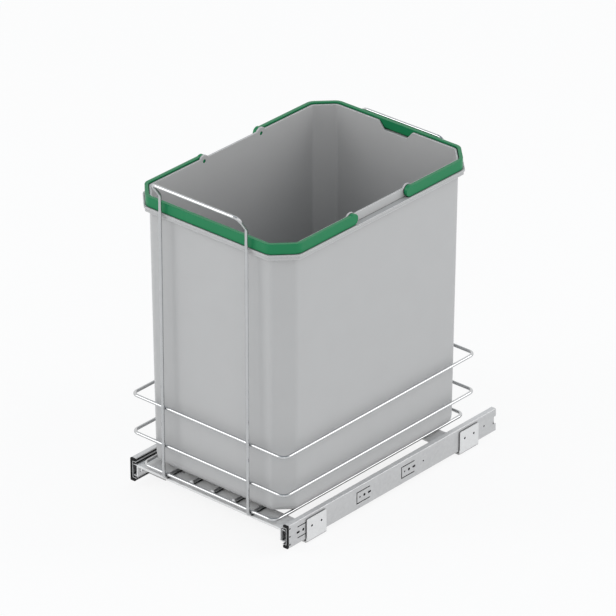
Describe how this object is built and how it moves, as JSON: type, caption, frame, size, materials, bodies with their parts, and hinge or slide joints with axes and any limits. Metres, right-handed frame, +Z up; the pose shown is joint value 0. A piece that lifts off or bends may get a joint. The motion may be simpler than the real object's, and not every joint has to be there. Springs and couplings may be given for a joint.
{
  "type": "built-in waste bin",
  "caption": "Pull-out cabinet waste bin: a tapered bin with two bail handles in a welded wire basket on three-part ball runners.",
  "frame": {"origin": "on the cabinet floor, in the middle of the four floor screws", "axes": "X across the cabinet, -Y the way the bin pulls out, +Z up"},
  "size_m": [0.3, 0.4734, 0.5034],
  "materials": {
    "zinc": "zinc plated, satin",
    "bracket_zinc": "zinc plated, satin",
    "cage_steel": "plain steel",
    "ball_steel": "polished",
    "nylon": "moulded",
    "screw_steel": "plated",
    "bin_plastic": "fine moulded grain",
    "handle_plastic": "moulded, satin",
    "wire_chrome": "chrome plated"
  },
  "bodies": {
    "root": {"outer_member_left": "zinc", "outer_member_right": "zinc", "front_buffer_left": "nylon", "front_buffer_right": "nylon", "bracket_front_left": "bracket_zinc", "bracket_front_right": "bracket_zinc", "bracket_rear_left": "bracket_zinc", "bracket_rear_right": "bracket_zinc"},
    "outer_cages": {"outer_cage_left": "cage_steel", "outer_cage_right": "cage_steel", "outer_balls": "ball_steel"},
    "middle_members": {"middle_member_left": "zinc", "middle_member_right": "zinc"},
    "inner_cages": {"inner_cage_left": "cage_steel", "inner_cage_right": "cage_steel", "inner_balls": "ball_steel"},
    "basket": {"inner_member_left": "zinc", "inner_member_right": "zinc", "front_crossbar": "bracket_zinc", "rear_crossbar": "bracket_zinc", "crossbar_screws": "screw_steel", "floor_wires": "wire_chrome", "base_ring": "wire_chrome", "lower_loop": "wire_chrome", "upper_loop": "wire_chrome", "front_hoop": "wire_chrome", "rear_hoop": "wire_chrome"},
    "bin": {"bin_shell": "bin_plastic"},
    "front_handle": {"front_handle": "handle_plastic"},
    "rear_handle": {"rear_handle": "handle_plastic"}
  },
  "joints": [
    {"name": "basket_slide", "type": "slide", "parent": "root", "child": "basket", "axis": [0, -1, 0], "range_m": [0, 0.45]},
    {"name": "middle_member_slide", "type": "slide", "parent": "root", "child": "middle_members", "axis": [0, -1, 0], "range_m": [0, 0.225]},
    {"name": "outer_cage_slide", "type": "slide", "parent": "root", "child": "outer_cages", "axis": [0, -1, 0], "range_m": [0, 0.1125]},
    {"name": "inner_cage_slide", "type": "slide", "parent": "root", "child": "inner_cages", "axis": [0, -1, 0], "range_m": [0, 0.3375]},
    {"name": "bin_lift", "type": "slide", "parent": "basket", "child": "bin", "axis": [0, 0, 1], "range_m": [0, 0.46]},
    {"name": "front_handle_turn", "type": "hinge", "parent": "bin", "child": "front_handle", "pos_m": [0, -0.0791, 0.4574], "axis": [-1, 0, 0], "range_deg": [0, 100]},
    {"name": "rear_handle_turn", "type": "hinge", "parent": "bin", "child": "rear_handle", "pos_m": [0, 0.0393, 0.4574], "axis": [1, 0, 0], "range_deg": [0, 100]}
  ],
  "couplings": [
    {"joint": "middle_member_slide", "follows": "basket_slide", "ratio": 0.5},
    {"joint": "outer_cage_slide", "follows": "basket_slide", "ratio": 0.25},
    {"joint": "inner_cage_slide", "follows": "basket_slide", "ratio": 0.75}
  ]
}
